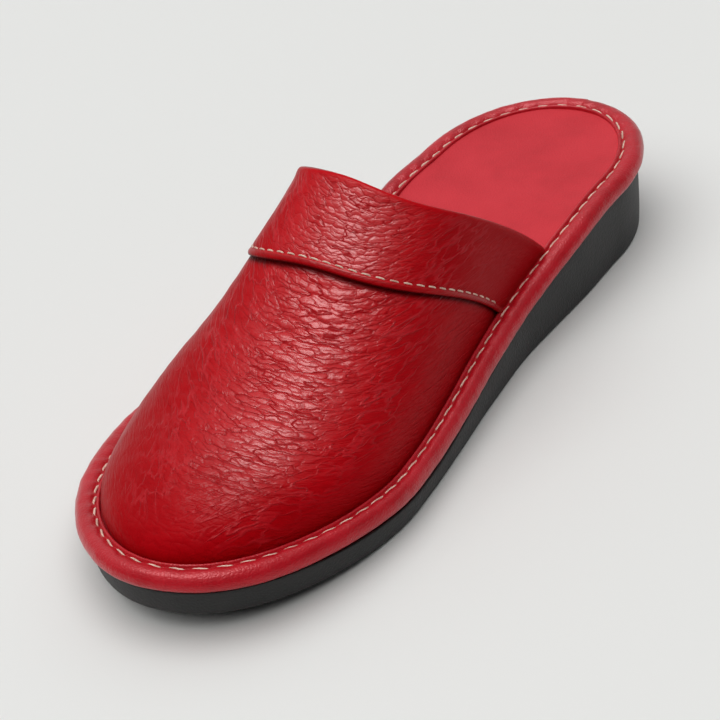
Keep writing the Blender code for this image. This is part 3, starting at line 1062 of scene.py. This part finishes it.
def stitch_mesh(name, path, frames, length, thick, slant):
    """Thread dashes joined in one mesh: each a soft bead along the path, its ends sunk."""
    rings, sides = 9, 8
    points = []
    faces = []
    for centre, (along, up) in zip(path, frames):
        side = np.cross(along, up)
        along = along * math.cos(slant) + side * math.sin(slant)
        side = np.cross(along, up)
        start = len(points)
        for s in np.linspace(-1, 1, rings):
            radius = thick / 2 * (0.55 + 0.45 * math.sqrt(max(0.0, 1 - s ** 4)))
            sink = -0.62 * thick * abs(s) ** 3
            mid = centre + along * (s * length / 2) + up * (sink + thick * 0.18)
            twist = s * 4.4
            for a in np.linspace(0, 2 * math.pi, sides, endpoint=False):
                bulge = radius * (1 + 0.10 * math.cos(2 * (a - twist)))
                points.append(mid + side * (math.cos(a) * bulge) + up * (math.sin(a) * bulge))
        for ring in range(rings - 1):
            low = start + ring * sides
            high = low + sides
            for i in range(sides):
                j = (i + 1) % sides
                faces.append((low + i, low + j, high + j, high + i))
        end = start + (rings - 1) * sides
        faces.append(tuple(start + i for i in range(sides))[::-1])
        faces.append(tuple(end + i for i in range(sides)))
    return build(name, np.array(points) * MM, faces, thread_material, sharp=60)


def frame_of(points, ups):
    """At each point of a path its direction and the way up from the leather."""
    along = np.roll(points, -1, 0) - np.roll(points, 1, 0)
    along = along / np.linalg.norm(along, axis=1)[:, None]
    ups = ups - along * np.sum(ups * along, axis=1)[:, None]
    ups = ups / np.linalg.norm(ups, axis=1)[:, None]
    return list(zip(along, ups))


# Stitches: length, thickness and slant against their line
EDGE_STITCH = (PITCH * 0.86, 0.68, 0.14)
CUFF_STITCH = (3.0, 0.52, 0.06)
CUFF_PITCH = 3.95
# Where they lie: inwards from the stitch line and over the sole's top
EDGE_STITCH_IN = 0.20
EDGE_STITCH_HEIGHT = 5.22


def make_edge_stitches():
    turn, _ = even_turns(stitch_count)
    x, y = outline(-EDGE_STITCH_IN, turn)
    z = sole_top(y) + EDGE_STITCH_HEIGHT
    points = to_world(x, y, z) / MM
    out_x, out_y = outline(1.0, turn)
    outward = to_world(out_x, out_y, z) / MM - points
    ups = np.tile([0.0, 0.0, 1.0], (len(points), 1)) + outward * 0.10
    return stitch_mesh("edge_stitches", points, frame_of(points, ups), *EDGE_STITCH)


edge_stitches = make_edge_stitches()


def make_cuff_stitches():
    turn = np.linspace(0.02 * np.pi, 0.98 * np.pi, 1500)
    y = band_y(STITCH_SHARE, turn)
    line = surface(y, turn, GAP + CUFF_WALL - CHANNEL[1])
    out = surface(y, turn, GAP + CUFF_WALL + 1.0) - line
    step = np.linalg.norm(np.diff(line, axis=0), axis=1)
    run = np.concatenate([[0], np.cumsum(step)])
    at = np.linspace(2.0, run[-1] - 2.0, int(run[-1] / CUFF_PITCH))
    points = np.stack([np.interp(at, run, line[:, c]) for c in range(3)], axis=-1)
    ups = np.stack([np.interp(at, run, out[:, c]) for c in range(3)], axis=-1)
    points = to_world(*points.T) / MM
    frames = frame_of(points, ups * np.array([-1.0, -1.0, 1.0]))
    frames[0] = (frames[1][0], frames[0][1])
    frames[-1] = (frames[-2][0], frames[-1][1])
    return stitch_mesh("cuff_stitches", points, frames, *CUFF_STITCH)


cuff_stitches = make_cuff_stitches()

for piece in (upper_shell, lining, cuff_band, platform_wrap, insole_sock, outsole_wall, outsole_tread):
    face_out(piece)

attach(upper_shell, "root")
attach(lining, "root")
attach(cuff_band, "root")
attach(platform_wrap, "root")
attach(insole_sock, "root")
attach(outsole_wall, "root")
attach(outsole_tread, "root")
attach(edge_stitches, "root")
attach(cuff_stitches, "root")
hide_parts("upper")
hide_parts("cuff")
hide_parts("platform")
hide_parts("insole")
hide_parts("outsole")


# Camera: the photo's place relative to the level slipper
CAMERA_PLACE = (0.4084, -0.5622, 0.4417)
CAMERA_FORWARD = (-0.50679, 0.68038, -0.52939)
CAMERA_RIGHT = (0.84076, 0.52578, -0.12913)
CAMERA_LENS = 138.5


def make_camera():
    data = bpy.data.cameras.new("camera")
    data.lens = CAMERA_LENS
    data.sensor_width = 36.0
    data.clip_end = 50.0
    camera = bpy.data.objects.new("camera", data)
    forward = Vector(CAMERA_FORWARD).normalized()
    right = Vector(CAMERA_RIGHT)
    right = (right - forward * right.dot(forward)).normalized()
    up = right.cross(forward)
    turn = Matrix((right, up, -forward)).transposed().to_4x4()
    place = Vector(CAMERA_PLACE) + Vector((SHIFT_X * MM, 0, 0))
    camera.matrix_world = Matrix.Translation(place) @ turn
    bpy.context.scene.collection.objects.link(camera)
    bpy.context.scene.camera = camera


make_camera()


# Lights: name, direction it comes from, strength, spread in degrees, colour, whether it
# shows in gloss, whether it lights matt surfaces
LIGHTS = (
    ("softbox", (-0.18, 0.12, 0.97), 2.0, 32.0, (1.0, 0.99, 0.975), True, False),
    ("wide_box", (-0.10, -0.24, 0.96), 1.88, 88.0, (1.0, 0.995, 0.98), False, True),
    ("left_fill", (-0.75, 0.45, 0.50), 0.02, 100.0, (1.0, 1.0, 1.0), False, True),
    ("ceiling", (-0.20, 0.10, 0.95), 0.62, 120.0, (0.97, 0.985, 1.0), False, True),
    ("front_fill", (0.15, -0.80, 0.50), 0.05, 60.0, (1.0, 1.0, 1.0), False, True),
)
# The surroundings brighten from DIM to BRIGHT towards one side, over a range of the cosine
BRIGHT_SIDE = (-0.60, 0.70, 0.35)
WORLD_RANGE = (-0.2, 1.0)
WORLD_DIM = 0.03
WORLD_BRIGHT = 0.42
WORLD_COLOUR = (0.96, 0.98, 1.0, 1)
FLOOR_REACH = 8.0
FLOOR_LOW = (0.80, 0.80, 0.785)
FLOOR_HIGH = (0.83, 0.83, 0.815)


def make_floor():
    n = Nodes("floor")
    place = n.add("ShaderNodeTexCoord").outputs["Object"]
    tone = n.ramp(n.noise(place, 1.2, 2.0), [(0.3, FLOOR_LOW), (0.7, FLOOR_HIGH)])
    n.join(tone, n.shader.inputs["Base Color"])
    n.shader.inputs["Roughness"].default_value = 0.7
    n.shader.inputs["Specular IOR Level"].default_value = 0.25
    mesh = bpy.data.meshes.new("floor")
    corners = [(x * FLOOR_REACH, y * FLOOR_REACH, 0) for x, y in ((-1, -1), (1, -1), (1, 1), (-1, 1))]
    mesh.from_pydata(corners, [], [(0, 1, 2, 3)])
    mesh.materials.append(n.material)
    floor = bpy.data.objects.new("floor", mesh)
    bpy.context.scene.collection.objects.link(floor)


def make_world():
    world = bpy.data.worlds.new("studio")
    world.use_nodes = True
    tree = world.node_tree
    back = tree.nodes["Background"]
    toward = tree.nodes.new("ShaderNodeTexCoord")
    dot = tree.nodes.new("ShaderNodeVectorMath")
    dot.operation = "DOT_PRODUCT"
    dot.inputs[1].default_value = Vector(BRIGHT_SIDE).normalized()
    tree.links.new(toward.outputs["Generated"], dot.inputs[0])
    spread = tree.nodes.new("ShaderNodeMapRange")
    spread.interpolation_type = "SMOOTHSTEP"
    for socket, value in zip(spread.inputs[1:5], (*WORLD_RANGE, WORLD_DIM, WORLD_BRIGHT)):
        socket.default_value = value
    tree.links.new(dot.outputs["Value"], spread.inputs[0])
    tree.links.new(spread.outputs[0], back.inputs[1])
    back.inputs[0].default_value = WORLD_COLOUR
    bpy.context.scene.world = world


def make_studio():
    make_floor()
    make_world()
    for name, side, strength, spread, colour, gloss, matt in LIGHTS:
        data = bpy.data.lights.new(name, "SUN")
        data.energy = strength
        data.angle = math.radians(spread)
        data.color = colour
        light = bpy.data.objects.new(name, data)
        light.rotation_euler = Vector(side).to_track_quat("Z", "Y").to_euler()
        light.visible_glossy = gloss
        light.visible_diffuse = matt
        bpy.context.scene.collection.objects.link(light)
    view = bpy.context.scene.view_settings
    view.view_transform = "Standard"
    view.look = "None"


make_studio()
